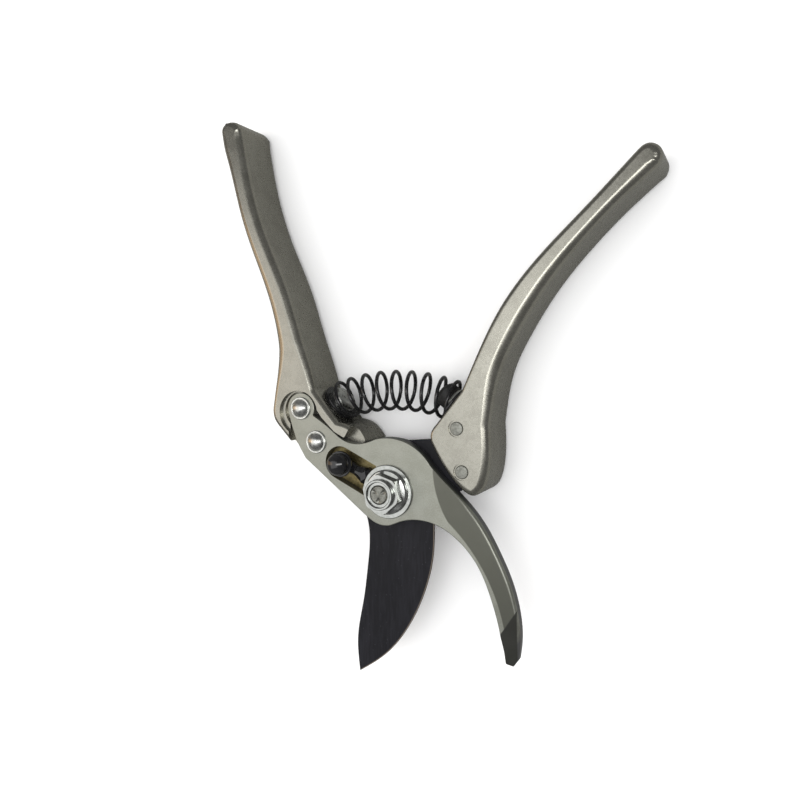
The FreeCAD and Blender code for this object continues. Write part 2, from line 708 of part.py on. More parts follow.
def make_seats():
    """Ring and peg on each seat, and the rubber bumper on the blade handle's peg."""
    ring = size["seat_ring_radius"]
    thick = size["seat_ring_thickness"]
    ring_bevel = size["seat_ring_chamfer"]
    peg = size["peg_radius"]
    for label, seat, degrees in (("left_seat_ring", LEFT_SEAT, LEFT_SEAT_ANGLE),
                                 ("right_seat_ring", RIGHT_SEAT, RIGHT_SEAT_ANGLE)):
        section = [(peg, 0), (ring, 0), (ring, thick - ring_bevel), (ring - ring_bevel, thick), (peg, thick)]
        seat_turned(label, closed(section), seat, degrees)
    left = size["left_peg_length"]
    bevel = size["peg_chamfer"]
    left_peg = [(0, 0), (peg, 0), (peg, left - bevel), (peg - bevel, left), (0, left)]
    seat_turned("left_spring_peg", closed(left_peg), LEFT_SEAT, LEFT_SEAT_ANGLE)
    right = size["right_peg_length"]
    seat_turned("right_spring_peg", closed([(0, 0), (peg, 0), (peg, right), (0, right)]),
                RIGHT_SEAT, RIGHT_SEAT_ANGLE)
    plug = size["bumper_radius"]
    tall = right + size["bumper_length"]
    nose = size["bumper_chamfer"]
    seat_turned("spring_bumper", closed([(0, right), (plug, right), (plug, tall - nose), (plug - nose, tall),
                                         (0, tall)]), RIGHT_SEAT, RIGHT_SEAT_ANGLE)


def make_spring():
    """The return spring: a round wire wound on an arched centre line between the two seats."""
    lift = size["seat_ring_thickness"] + size["wire_radius"]
    start = LEFT_SEAT + polar(lift, LEFT_SEAT_ANGLE)
    end = RIGHT_SEAT + polar(lift, RIGHT_SEAT_ANGLE)
    middle = Vector((start.x + end.x) / 2, size["spring_rise"], 0)
    spine = Part.Arc(start, middle, end).toShape().Curve
    first, last = spine.parameter(start), spine.parameter(end)
    turns = size["open_turns"]
    steps = int(turns * 12)
    points = []
    for number in range(steps + 1):
        share = number / steps
        place = spine.value(first + share * (last - first))
        outward = (place - spine.Center).normalize()
        turn = 2 * math.pi * turns * share
        across = size["coil_radius"] * math.cos(turn)
        offset = outward * across + Vector(0, 0, size["coil_radius"] * math.sin(turn))
        points.append(place + offset + Vector(0, 0, handle_middle))
    wire = Part.Wire([smooth(points).toShape()])
    tangent = points[1] - points[0]
    section = Part.Wire([Part.Circle(points[0], tangent, size["wire_radius"]).toShape()])
    spring = doc.addObject("Part::Feature", "return_spring")
    spring.Label = "return_spring"
    spring.Shape = wire.makePipeShell([section], True, True)
    spring.Placement = FreeCAD.Placement()
    made.append(spring)


def check_and_write():
    """Refuse a failed feature or a bad solid, then write one file for each sub-part."""
    doc.recompute()
    for item in doc.Objects:
        if "Invalid" in item.State or "Error" in item.State:
            raise RuntimeError("failed: " + item.Name)
    for piece in made:
        if piece.Shape.isNull() or not piece.Shape.isValid():
            raise RuntimeError("bad shape: " + piece.Label)
    os.makedirs("parts", exist_ok=True)
    for piece in made:
        piece.Shape.exportStep("parts/%s.step" % piece.Label)
        print(piece.Label, len(piece.Shape.Solids), round(piece.Shape.Volume, 1))


make_blade()
make_hook_plate()
make_left_handle()
make_right_handle()
for rivet_label, rivet_place in zip(("hook_rivet_upper", "hook_rivet_lower"), HOOK_RIVETS):
    make_hook_rivet(rivet_label, rivet_place)
for rivet_label, rivet_place in zip(("blade_rivet_upper", "blade_rivet_lower"), BLADE_RIVETS):
    make_blade_rivet(rivet_label, rivet_place)
make_pivot()
make_lock()
make_seats()
make_spring()
check_and_write()
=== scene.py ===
import math

import bmesh
import bpy
import numpy as np
from mathutils import Matrix, Vector


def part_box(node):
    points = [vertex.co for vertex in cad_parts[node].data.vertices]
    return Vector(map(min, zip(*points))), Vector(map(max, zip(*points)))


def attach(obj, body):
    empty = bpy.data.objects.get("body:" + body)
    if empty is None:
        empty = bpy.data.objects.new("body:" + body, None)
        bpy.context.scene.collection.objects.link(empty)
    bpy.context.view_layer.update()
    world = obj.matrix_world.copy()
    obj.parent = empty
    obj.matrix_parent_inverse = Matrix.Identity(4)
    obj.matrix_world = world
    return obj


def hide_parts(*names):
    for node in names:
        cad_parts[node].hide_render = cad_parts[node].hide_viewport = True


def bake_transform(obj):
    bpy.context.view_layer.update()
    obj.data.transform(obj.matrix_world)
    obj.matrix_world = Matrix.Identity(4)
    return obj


# Bypass pruning shears, held open. Shapes are worked out in millimetres and made in metres.
# The origin is on the pivot's axis, +Z runs towards the nut and +Y towards the handles.

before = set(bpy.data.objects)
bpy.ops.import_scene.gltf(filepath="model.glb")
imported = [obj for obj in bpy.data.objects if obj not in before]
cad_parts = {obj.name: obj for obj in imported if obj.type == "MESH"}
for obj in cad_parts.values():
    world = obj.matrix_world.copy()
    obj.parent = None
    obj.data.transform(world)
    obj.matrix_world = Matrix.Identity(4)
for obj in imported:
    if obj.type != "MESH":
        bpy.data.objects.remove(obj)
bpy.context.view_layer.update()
MM = 0.001


def node_box(node):
    """Lowest and highest corner of a CAD node, in millimetres."""
    low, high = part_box(node)
    return np.array(low) / MM, np.array(high) / MM


# Levels and centres that the CAD gives.
PLATE_LOW, PLATE_HIGH = (corner[2] for corner in node_box("hook_plate"))
BLADE_LOW, BLADE_HIGH = (corner[2] for corner in node_box("blade"))
HANDLE_LOW, HANDLE_HIGH = (corner[2] for corner in node_box("blade_handle"))
HANDLE_MIDDLE = (HANDLE_LOW + HANDLE_HIGH) / 2
HEAD_LOW = node_box("pivot_bolt")[0][2]
BOLT_TOP = node_box("pivot_bolt")[1][2]
WASHER_TOP = node_box("pivot_washer")[1][2]
WASHER_RADIUS = node_box("pivot_washer")[1][0]
NUT_TOP = node_box("pivot_nut")[1][2]
KNOB_TOP = node_box("lock_knob")[1][2]
KNOB_RADIUS = (node_box("lock_knob")[1][0] - node_box("lock_knob")[0][0]) / 2


def centre_of(node):
    """The middle of a CAD node in the plane of the shears, in millimetres."""
    low, high = node_box(node)
    return ((low + high) / 2)[:2]


HOOK_RIVETS = [centre_of("hook_rivet_upper"), centre_of("hook_rivet_lower")]
BLADE_RIVETS = [centre_of("blade_rivet_upper"), centre_of("blade_rivet_lower")]
KNOB_PLACE = centre_of("lock_knob")
PIN_PLACE = centre_of("lock_pin")
LOCK_ANGLE = math.degrees(math.atan2(KNOB_PLACE[1], KNOB_PLACE[0]))

# Places and sizes shared by the handles, the jaws and the spring.
LEFT_GRIP_START = np.array([-38.0, 42.0])
LEFT_GRIP_ANGLE = 107.0
LEFT_GRIP_LENGTH = 88.5
RIGHT_GRIP_START = np.array([34.0, 42.0])
RIGHT_GRIP_ANGLE = 51.0
RIGHT_GRIP_LENGTH = 78.0
HUB_RADIUS = 17.2
HEAD_RADIUS = 17.8
HUB_CLEARANCE = 1.8
PLATE_END_RADIUS = 5.4
LEFT_SEAT = np.array([-24.0, 27.6])
LEFT_SEAT_ANGLE = 40.0
RIGHT_SEAT = np.array([21.3, 28.5])
RIGHT_SEAT_ANGLE = 141.6
SEAT_RADIUS = 6.9
BLADE_LENGTH = 54.3
JAW_ROOT = -10.0
HOOK_LENGTH = 42.9
HOOK_ROOT = -9.2
RIVET_POCKET = 1.8
REAR_HEAD_RADIUS = 4.0
REAR_HEAD_HEIGHT = 1.6


# ---------------------------------------------------------------- curves in the plane

def bearing(radius, degrees, centre=(0.0, 0.0)):
    """The point at a radius and bearing from a centre."""
    angle = math.radians(degrees)
    return np.array(centre) + radius * np.array([math.cos(angle), math.sin(angle)])


def arc(centre, radius, first, last, step=1.0):
    """Points round a centre, from one bearing to another: centre plus radius times (cosine, sine)."""
    count = max(8, int(abs(last - first) * math.radians(1) * radius / step) + 2)
    angle = np.radians(np.linspace(first, last, count))
    return np.array(centre) + radius * np.stack([np.cos(angle), np.sin(angle)], 1)


def smooth(points, step=0.7):
    """A natural cubic through the points, with the chord lengths as its parameter."""
    knots = np.array(points, float)
    chord = np.linalg.norm(np.diff(knots, axis=0), axis=1)
    place = np.concatenate([[0.0], np.cumsum(chord)])
    size = len(knots)
    matrix = np.eye(size)
    right = np.zeros_like(knots)
    inner = np.arange(1, size - 1)
    matrix[inner, inner - 1] = chord[:-1]
    matrix[inner, inner] = 2 * (chord[:-1] + chord[1:])
    matrix[inner, inner + 1] = chord[1:]
    slope = np.diff(knots, axis=0) / chord[:, None]
    right[1:-1] = 6 * np.diff(slope, axis=0)
    bend = np.linalg.solve(matrix, right)
    t = np.linspace(0, place[-1], max(6, int(place[-1] / step)))
    k = np.clip(np.searchsorted(place, t, side="right") - 1, 0, size - 2)
    h = chord[k][:, None]
    a = (place[k + 1] - t)[:, None]
    b = (t - place[k])[:, None]
    curve = (bend[k] * a ** 3 + bend[k + 1] * b ** 3) / (6 * h)
    curve += (knots[k] / h - bend[k] * h / 6) * a
    curve += (knots[k + 1] / h - bend[k + 1] * h / 6) * b
    return curve


def straight(start, end, step=0.7):
    """Evenly spaced points from start to end."""
    start, end = np.array(start, float), np.array(end, float)
    count = max(2, int(np.linalg.norm(end - start) / step) + 1)
    return start + np.linspace(0, 1, count)[:, None] * (end - start)


def loop(parts, step=0.6):
    """The parts joined into one closed outline, spaced evenly along its length, running anticlockwise."""
    joined = np.concatenate(parts)
    gap = np.linalg.norm(np.roll(joined, -1, axis=0) - joined, axis=1)
    joined = joined[gap > 1e-4]
    closed = np.vstack([joined, joined[:1]])
    length = np.concatenate([[0.0], np.cumsum(np.linalg.norm(np.diff(closed, axis=0), axis=1))])
    place = np.linspace(0, length[-1], int(length[-1] / step), endpoint=False)
    outline = np.stack([np.interp(place, length, closed[:, axis]) for axis in (0, 1)], 1)
    ahead = np.roll(outline, -1, axis=0)
    area = np.sum(outline[:, 0] * ahead[:, 1] - outline[:, 1] * ahead[:, 0])
    return outline if area > 0 else outline[::-1]


def polygon(corners):
    """A straight-sided closed outline through the corners."""
    return loop([straight(a, b) for a, b in zip(corners, corners[1:] + corners[:1])])


def normals_of(outline):
    """Outward normals of an anticlockwise outline: the central difference turned a quarter clockwise."""
    along = np.roll(outline, -1, axis=0) - np.roll(outline, 1, axis=0)
    along /= np.linalg.norm(along, axis=1)[:, None] + 1e-9
    return np.stack([along[:, 1], -along[:, 0]], 1)


def spread(values, reach):
    """A running mean round the outline, so that a width changes gently."""
    kernel = np.ones(2 * reach + 1) / (2 * reach + 1)
    padded = np.concatenate([values[-reach:], values, values[:reach]])
    return np.convolve(padded, kernel, mode="valid")


def room_inside(outline, normals):
    """The radius of the circle that touches each point from inside: the least of d squared over 2 n.d."""
    apart = outline[None, :, :] - outline[:, None, :]
    square = np.sum(apart ** 2, axis=2)
    depth = -np.einsum("ijk,ik->ij", apart, normals)
    with np.errstate(divide="ignore", invalid="ignore"):
        radius = np.where(depth > 1e-3, square / (2 * depth), 1e3)
    return radius.min(axis=1)


# ---------------------------------------------------------------- outlines

def grip_point(start, degrees, length, share, aside):
    """The point at a share of a grip's length, and aside from its line to the left."""
    return bearing(aside, degrees + 90, bearing(share * length, degrees, start))


def left_grip(share, aside):
    return grip_point(LEFT_GRIP_START, LEFT_GRIP_ANGLE, LEFT_GRIP_LENGTH, share, aside)


def right_grip(share, aside):
    return grip_point(RIGHT_GRIP_START, RIGHT_GRIP_ANGLE, RIGHT_GRIP_LENGTH, share, aside)


def blade_point(across, share):
    return np.array([across, JAW_ROOT - share * BLADE_LENGTH])


def hook_point(across, share):
    return np.array([across, HOOK_ROOT - share * HOOK_LENGTH])


def left_outline():
    """The hook handle: grip, pointed shoulder, hollow for the blade's hub, lobe and spring seat."""
    hollow = HUB_RADIUS + HUB_CLEARANCE
    seat_top = bearing(SEAT_RADIUS, LEFT_SEAT_ANGLE + 90, LEFT_SEAT)
    seat_foot = bearing(SEAT_RADIUS, LEFT_SEAT_ANGLE - 90, LEFT_SEAT)
    outer = [left_grip(1.015, 0.6), left_grip(1.005, 3.0), left_grip(0.975, 4.4), left_grip(0.86, 4.9),
             left_grip(0.615, 5.2), left_grip(0.333, 3.2), left_grip(0.134, 3.6), left_grip(0.0, 6.6),
             (-46.0, 25.6)]
    shoulder = [outer[-1], (-45.6, 22.8), (-43.7, 20.0)]
    base = (-35.5, 11.6)
    lobe = [bearing(hollow, 123.5), (-11.6, 18.0), (-14.2, 20.6), seat_foot]
    inner = [seat_top, left_grip(-0.03, -6.6), left_grip(0.076, -6.2), left_grip(0.288, -5.6),
             left_grip(0.533, -2.9), left_grip(0.735, -2.5), left_grip(0.965, -4.6)]
    crown = [inner[-1], left_grip(1.0, -3.0), outer[0]]
    return loop([smooth(outer), smooth(shoulder), straight(shoulder[-1], base),
                 straight(base, (-28.0, 7.6)), straight((-28.0, 7.6), bearing(hollow, 166.0)),
                 arc((0, 0), hollow, 166.0, 123.5), smooth(lobe), straight(seat_foot, seat_top),
                 smooth(inner), smooth(crown)])


def right_outline():
    """The blade handle: grip, spring seat, pointed nose over the tang, and a full rounded heel."""
    seat_top = bearing(SEAT_RADIUS, RIGHT_SEAT_ANGLE - 90, RIGHT_SEAT)
    seat_foot = bearing(SEAT_RADIUS, RIGHT_SEAT_ANGLE + 90, RIGHT_SEAT)
    inner = [seat_top, (29.6, 43.4), right_grip(0.186, 8.0), right_grip(0.414, 8.6),
             right_grip(0.684, 6.4), right_grip(0.94, 4.4)]
    crown = [inner[-1], right_grip(0.985, 3.4), right_grip(1.0, 0.6), right_grip(0.985, -2.0),
             right_grip(0.95, -3.2)]
    outer = [crown[-1], right_grip(0.75, -0.4), right_grip(0.587, 0.8), right_grip(0.384, 0.9),
             right_grip(0.166, -1.2), right_grip(0.04, -3.4), (35.7, 31.7), (34.4, 22.9)]
    heel = [outer[-1], (34.7, 13.0), (33.8, 6.2), (31.9, 2.2), (28.9, 0.6), (25.6, 2.3), (21.6, 6.4),
            (17.4, 12.6), (14.9, 17.4)]
    tip = [heel[-1], (14.9, 19.8), seat_foot]
    return loop([smooth(inner), smooth(crown), smooth(outer), smooth(heel), smooth(tip),
                 straight(seat_foot, seat_top)])


def facet_ridge():
    """The line where the hook's flat face meets the facet at its tip, from the outer side inwards."""
    return [hook_point(45.9, 0.50), hook_point(38.0, 0.79)]


def plate_outline():
    """The hook plate: rounded end, straight back, round head, and the hook."""
    end = HOOK_RIVETS[0]
    left_end = bearing(PLATE_END_RADIUS, 195.0, end)
    right_end = bearing(PLATE_END_RADIUS, -25.0, end)
    back = [left_end, (-35.2, 14.6), (-31.9, 9.2)]
    under = [(-8.9, -8.3), (-4.2, -11.1), (0.2, -11.4), (4.0, -9.9), (9.0, -8.7), (13.0, -8.7),
             hook_point(17.2, 0.01), hook_point(25.7, 0.13), hook_point(30.9, 0.27),
             hook_point(35.5, 0.50), hook_point(38.6, 0.75), hook_point(40.1, 0.99)]
    tip = [hook_point(42.6, 1.0), hook_point(44.4, 0.94)]
    outer = [tip[-1], hook_point(45.0, 0.80), hook_point(44.4, 0.62), hook_point(41.9, 0.40),
             hook_point(37.6, 0.18), (31.9, -7.4), (25.6, -0.4), (19.0, 5.6), bearing(HEAD_RADIUS, 33.0)]
    neck = [bearing(HEAD_RADIUS, 106.0), (-8.0, 15.9), (-16.0, 15.9), (-22.2, 20.0), right_end]
    return loop([arc(end, PLATE_END_RADIUS, -25.0, 195.0), smooth(back), straight(back[-1], under[0]),
                 smooth(under), straight(under[-1], tip[0]), straight(tip[0], tip[1]), smooth(outer),
                 arc((0, 0), HEAD_RADIUS, 33.0, 106.0), smooth(neck)], step=0.4)


def blade_outline():
    """The blade's jaw and round hub."""
    tip = blade_point(-12.9, 1.0)
    back = [bearing(HUB_RADIUS, 172.0), (-12.6, -4.5), blade_point(-10.1, 0.0), blade_point(-9.9, 0.33),
            blade_point(-11.4, 0.53), blade_point(-13.7, 0.78), tip]
    edge = [tip, blade_point(-3.2, 0.865), blade_point(6.4, 0.635), blade_point(12.0, 0.40),
            blade_point(14.6, 0.18), blade_point(14.8, 0.0)]
    return loop([smooth(back), smooth(edge), straight(edge[-1], bearing(HUB_RADIUS, -20.0)),
                 arc((0, 0), HUB_RADIUS, -20.0, 172.0)], step=0.4)


# ---------------------------------------------------------------- meshes

def make_mesh(name, points, faces, smooth_below=40.0):
    """A mesh object at the origin from millimetre points, smooth except at sharp turns."""
    mesh = bpy.data.meshes.new(name)
    mesh.from_pydata(np.asarray(points, float) * MM, [], faces)
    mesh.validate()
    mesh.shade_smooth()
    mesh.set_sharp_from_angle(angle=math.radians(smooth_below))
    piece = bpy.data.objects.new(name, mesh)
    bpy.context.scene.collection.objects.link(piece)
    return piece


def ring_faces(rings, around):
    """Quads between rings of the same number of points: each point to its neighbour and to the next ring."""
    here = np.arange(around)
    ahead = np.roll(here, -1)
    base = (np.arange(rings - 1) * around)[:, None]
    quads = np.stack([base + here, base + ahead, base + around + ahead, base + around + here], axis=2)
    return quads.reshape(-1, 4).tolist()


def closed_faces(rings, around):
    """The quads between rings, then a face over the first ring and one over the last."""
    last = (rings - 1) * around
    ends = [list(range(around))[::-1], list(range(last, last + around))]
    return ring_faces(rings, around) + ends


def slab(name, outline, low, high, front, back=0.4, front_depth=None, back_depth=None, steps=10):
    """A slab with rounded rims. At a turn q from 0 to 90 degrees a rim point moves in by its inset times
    (1 - cos q) and towards the face by its depth times sin q, and the faces close both ends."""
    normals = normals_of(outline)
    limit = 0.78 * room_inside(outline, normals)
    count = len(outline)

    def rim(width, depth):
        width = spread(np.minimum(np.broadcast_to(width, count).astype(float), limit), 3)
        depth = width if depth is None else np.broadcast_to(depth, count).astype(float)
        return np.minimum(width, limit), depth

    front_width, front_depth = rim(front, front_depth)
    back_width, back_depth = rim(back, back_depth)
    turns = np.linspace(0, np.pi / 2, steps)
    rings = []
    for turn in turns[::-1]:
        inset = back_width * (1 - np.cos(turn))
        z = low + back_depth * (1 - np.sin(turn))
        rings.append(np.column_stack([outline - normals * inset[:, None], z]))
    for turn in turns:
        inset = front_width * (1 - np.cos(turn))
        z = high - front_depth * (1 - np.sin(turn))
        rings.append(np.column_stack([outline - normals * inset[:, None], z]))
    return make_mesh(name, np.vstack(rings), closed_faces(len(rings), count))


def lathe(name, profile, place, axis=(0.0, 0.0, 1.0), around=96, ripple=None, smooth_below=35.0,
          hollow=False):
    """A profile of (radius, height) turned about an axis: point = place + height times the axis + radius
    times (cosine, sine) across it. A ripple changes (radius, height) with the angle. A solid piece gets a
    face at each end, and a hollow one has its last ring joined to its first."""
    profile = np.array(profile, float)
    angle = np.linspace(0, 2 * np.pi, around, endpoint=False)
    radius = np.repeat(profile[:, :1], around, axis=1)
    height = np.repeat(profile[:, 1:], around, axis=1)
    if ripple:
        radius, height = ripple(radius, height, angle[None, :])
    along = np.array(axis, float) / np.linalg.norm(axis)
    helper = np.array([0.0, 0.0, 1.0]) if abs(along[2]) < 0.9 else np.array([1.0, 0.0, 0.0])
    across = np.cross(helper, along)
    across /= np.linalg.norm(across)
    other = np.cross(along, across)
    turn = np.cos(angle)[:, None] * across + np.sin(angle)[:, None] * other
    points = np.array(place, float) + height[..., None] * along + radius[..., None] * turn[None]
    faces = closed_faces(len(profile), around)
    if hollow:
        last = (len(profile) - 1) * around
        here = np.arange(around)
        ahead = np.roll(here, -1)
        faces = ring_faces(len(profile), around)
        faces += np.stack([last + here, last + ahead, ahead, here], axis=1).tolist()
    return make_mesh(name, points.reshape(-1, 3), faces, smooth_below)


def prism(outline, low, high):
    """A straight-sided cutter."""
    count = len(outline)
    points = np.vstack([np.column_stack([outline, np.full(count, z)]) for z in (low, high)])
    return make_mesh("cutter", points, closed_faces(2, count))


def cut(piece, cutters, smooth_below=40.0):
    """Takes the cutters away from a piece, then removes them."""
    for cutter in cutters:
        step = piece.modifiers.new("cut", "BOOLEAN")
        step.operation = "DIFFERENCE"
        step.solver = "EXACT"
        step.object = cutter
    bpy.context.view_layer.update()
    graph = bpy.context.evaluated_depsgraph_get()
    mesh = bpy.data.meshes.new_from_object(piece.evaluated_get(graph))
    piece.modifiers.clear()
    piece.data = mesh
    mesh.shade_smooth()
    mesh.set_sharp_from_angle(angle=math.radians(smooth_below))
    for cutter in cutters:
        bpy.data.objects.remove(cutter)
    return piece


def soften(piece, width, segments=3):
    """A small bevel on the sharp edges, with normals that follow the larger faces."""
    bevel = piece.modifiers.new("soft edges", "BEVEL")
    bevel.width = width * MM
    bevel.segments = segments
    bevel.limit_method = "ANGLE"
    bevel.angle_limit = math.radians(40)
    bevel.harden_normals = True
    flat = piece.modifiers.new("flat faces", "WEIGHTED_NORMAL")
    flat.keep_sharp = True
    return piece


def place_piece(piece, body, slot_name, material, *nodes):
    """Gives a piece its finish and its body, and hides the CAD nodes that it stands for; the slot name is not
    used.
    """
    piece.data.materials.clear()
    piece.data.materials.append(material)
    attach(piece, body)
    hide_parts(*nodes)
    return piece


# ---------------------------------------------------------------- shader groups

def new_group(name, inputs, outputs):
    """An empty node group with float, colour or vector inputs and outputs."""
    kinds = {"f": "NodeSocketFloat", "c": "NodeSocketColor", "v": "NodeSocketVector"}
    group = bpy.data.node_groups.new(name, "ShaderNodeTree")
    for label, kind in inputs:
        group.interface.new_socket(label, in_out="INPUT", socket_type=kinds[kind])
    for label, kind in outputs:
        group.interface.new_socket(label, in_out="OUTPUT", socket_type=kinds[kind])
    return group, group.nodes.new("NodeGroupInput"), group.nodes.new("NodeGroupOutput")


def add(tree, kind, inputs=None, **settings):
    """A node with its settings, and its inputs given as numbers or as sockets to link."""
    node = tree.nodes.new(kind)
    for key, value in settings.items():
        setattr(node, key, value)
    for key, value in (inputs or {}).items():
        if isinstance(value, bpy.types.NodeSocket):
            tree.links.new(value, node.inputs[key])
        else:
            node.inputs[key].default_value = value
    return node


def ramp(tree, value, low, high, out_low=0.0, out_high=1.0):
    """A value remapped smoothly from one range to another."""
    return add(tree, "ShaderNodeMapRange",
               {"Value": value, "From Min": low, "From Max": high, "To Min": out_low, "To Max": out_high},
               interpolation_type="SMOOTHSTEP").outputs["Result"]


def blend_colour(tree, share, first, second):
    """The first colour where the share is 0, and the second where it is 1."""
    mix = add(tree, "ShaderNodeMix", data_type="RGBA")
    for socket, value in ((mix.inputs[0], share), (mix.inputs[6], first), (mix.inputs[7], second)):
        if isinstance(value, bpy.types.NodeSocket):
            tree.links.new(value, socket)
        else:
            socket.default_value = value
    return mix.outputs[2]


def grain_group():
    """Fine grain over a broad mottle. Stretch the vector first for a brushed finish."""
    group, given, out = new_group(
        "grain", [("Vector", "v"), ("Fine scale", "f"), ("Broad scale", "f"), ("Dark", "c"), ("Light", "c"),
                  ("Rough low", "f"), ("Rough high", "f")],
        [("Colour", "c"), ("Roughness", "f"), ("Height", "f")])
    fine = add(group, "ShaderNodeTexNoise", {"Vector": given.outputs["Vector"],
                                             "Scale": given.outputs["Fine scale"], "Detail": 4.0})
    broad = add(group, "ShaderNodeTexNoise", {"Vector": given.outputs["Vector"],
                                              "Scale": given.outputs["Broad scale"], "Detail": 3.0})
    both = add(group, "ShaderNodeMath", {0: fine.outputs["Fac"], 1: broad.outputs["Fac"]}, operation="ADD")
    share = ramp(group, both.outputs[0], 0.72, 1.28)
    group.links.new(blend_colour(group, share, given.outputs["Dark"], given.outputs["Light"]),
                    out.inputs["Colour"])
    rough = add(group, "ShaderNodeMapRange", {"Value": both.outputs[0], "From Min": 0.7, "From Max": 1.3,
                                              "To Min": given.outputs["Rough low"],
                                              "To Max": given.outputs["Rough high"]})
    group.links.new(rough.outputs["Result"], out.inputs["Roughness"])
    group.links.new(fine.outputs["Fac"], out.inputs["Height"])
    return group


def speck_group():
    """Scattered small specks, as a colour over a base and as a mask."""
    group, given, out = new_group(
        "specks", [("Vector", "v"), ("Scale", "f"), ("Size", "f"), ("Base", "c"), ("Speck", "c")],
        [("Colour", "c"), ("Mask", "f")])
    cells = add(group, "ShaderNodeTexVoronoi", {"Vector": given.outputs["Vector"],
                                                "Scale": given.outputs["Scale"]})
    near = add(group, "ShaderNodeMath", {0: cells.outputs["Distance"], 1: given.outputs["Size"]},
               operation="LESS_THAN")
    chance = add(group, "ShaderNodeSeparateColor", {"Color": cells.outputs["Color"]})
    some = add(group, "ShaderNodeMath", {0: chance.outputs[0], 1: 0.55}, operation="GREATER_THAN")
    mask = add(group, "ShaderNodeMath", {0: near.outputs[0], 1: some.outputs[0]}, operation="MULTIPLY")
    group.links.new(blend_colour(group, mask.outputs[0], given.outputs["Base"], given.outputs["Speck"]),
                    out.inputs["Colour"])
    group.links.new(mask.outputs[0], out.inputs["Mask"])
    return group


GRAIN = grain_group()
SPECKS = speck_group()


def place_group(tree, group, **inputs):
    """A group's node in a tree, with its inputs given as numbers or as sockets to link."""
    node = tree.nodes.new("ShaderNodeGroup")
    node.node_tree = group
    for label, value in inputs.items():
        socket = node.inputs[label.replace("_", " ")]
        if isinstance(value, bpy.types.NodeSocket):
            tree.links.new(value, socket)
        else:
            socket.default_value = value
    return node


def finish_of(name, dark, light, rough, metallic, fine=900.0, broad=120.0, stretch=(1, 1, 1), turn=0.0,
              bump=0.08, bump_depth=0.00004, speck=None, coat=0.0, special=None, shine=0.5):
    """A material: grain from Object coordinates drives colour, roughness and bump, with specks if asked."""
    material = bpy.data.materials.new(name)
    material.use_nodes = True
    tree = material.node_tree
    shader = tree.nodes["Principled BSDF"]
    where = add(tree, "ShaderNodeTexCoord")
    mapped = add(tree, "ShaderNodeMapping", {"Vector": where.outputs["Object"], "Scale": stretch,
                                             "Rotation": (0.0, 0.0, math.radians(turn))})
    grain = place_group(tree, GRAIN, Vector=mapped.outputs["Vector"], Fine_scale=fine, Broad_scale=broad,
                        Dark=(*dark, 1), Light=(*light, 1), Rough_low=rough[0], Rough_high=rough[1])
    colour = grain.outputs["Colour"]
    if speck:
        dots = place_group(tree, SPECKS, Vector=where.outputs["Object"], Scale=speck[0], Size=speck[1],
                           Base=colour, Speck=(*speck[2], 1))
        colour = dots.outputs["Colour"]
    if special:
        colour = special(tree, where.outputs["Object"], colour)
    tree.links.new(colour, shader.inputs["Base Color"])
    tree.links.new(grain.outputs["Roughness"], shader.inputs["Roughness"])
    relief = add(tree, "ShaderNodeBump", {"Height": grain.outputs["Height"], "Strength": bump,
                                          "Distance": bump_depth})
    tree.links.new(relief.outputs["Normal"], shader.inputs["Normal"])
    shader.inputs["Metallic"].default_value = metallic
    shader.inputs["Coat Weight"].default_value = coat
    shader.inputs["Specular IOR Level"].default_value = shine
    return material


def hook_ground_and_painted_shade(tree, place, colour):
    """The hook's tones: a darker ground face between two arcs, which leaves a lighter strip along the
    inner edge; painted shade that darkens the side wall; and the darkest painted shade on the facet
    at the tip."""
    def span(value, first, last):
        return ramp(tree, value, first * MM, last * MM)

    def both(first, second, operation="MULTIPLY"):
        return add(tree, "ShaderNodeMath", {0: first, 1: second}, operation=operation).outputs[0]

    def past_arc(centre, first, last):
        middle = (centre[0] * MM, centre[1] * MM, PLATE_HIGH * MM)
        away = add(tree, "ShaderNodeVectorMath", {0: place, 1: middle}, operation="DISTANCE")
        return span(away.outputs["Value"], first, last)

    x, y, z = add(tree, "ShaderNodeSeparateXYZ", {"Vector": place}).outputs
    root = past_arc((48.3, 9.6), 32.6, 32.2)
    jaw = both(span(y, -11.5, -12.5), span(x, 22.5, 23.5))
    within_strip = past_arc((-16.5, -52.0), 57.6, 58.0)
    ground = both(both(root, jaw, "MAXIMUM"), within_strip)
    flat_face = span(z, PLATE_HIGH - 0.12, PLATE_HIGH - 0.03)
    ground_tone = blend_colour(tree, both(ground, flat_face), colour, (0.135, 0.137, 0.115, 1))
    # painted shade: the side wall below the face is painted a darker grey in place of the shade it sits in
    painted_wall_shade = span(z, PLATE_HIGH - 0.9, PLATE_HIGH - 1.3)
    wall_with_painted_shade = blend_colour(tree, painted_wall_shade, ground_tone, (0.19, 0.19, 0.19, 1))
    outer_end, inner_end = facet_ridge()
    along = (inner_end - outer_end) / np.linalg.norm(inner_end - outer_end)
    from_ridge = add(tree, "ShaderNodeVectorMath", {0: place, 1: (*(outer_end * MM), 0.0)},
                     operation="SUBTRACT")
    beyond = add(tree, "ShaderNodeVectorMath",
                 {0: from_ridge.outputs["Vector"], 1: (-along[1], along[0], 0.0)}, operation="DOT_PRODUCT")
    # painted shade: the facet at the tip slopes back, and the darkest tone painted on it stands in for its
    # shade
    facet = both(span(beyond.outputs["Value"], -0.1, 0.1), span(x, 44.1, 43.8))
    return blend_colour(tree, facet, wall_with_painted_shade, (0.11, 0.112, 0.10, 1))


def cutting_edge(tree, place, colour):
    """A thin lighter line where the blade is honed, held in the piece's own attribute."""
    honed = add(tree, "ShaderNodeAttribute", attribute_name="honed")
    return blend_colour(tree, ramp(tree, honed.outputs["Fac"], 0.3, 0.9), colour, (0.16, 0.13, 0.10, 1))


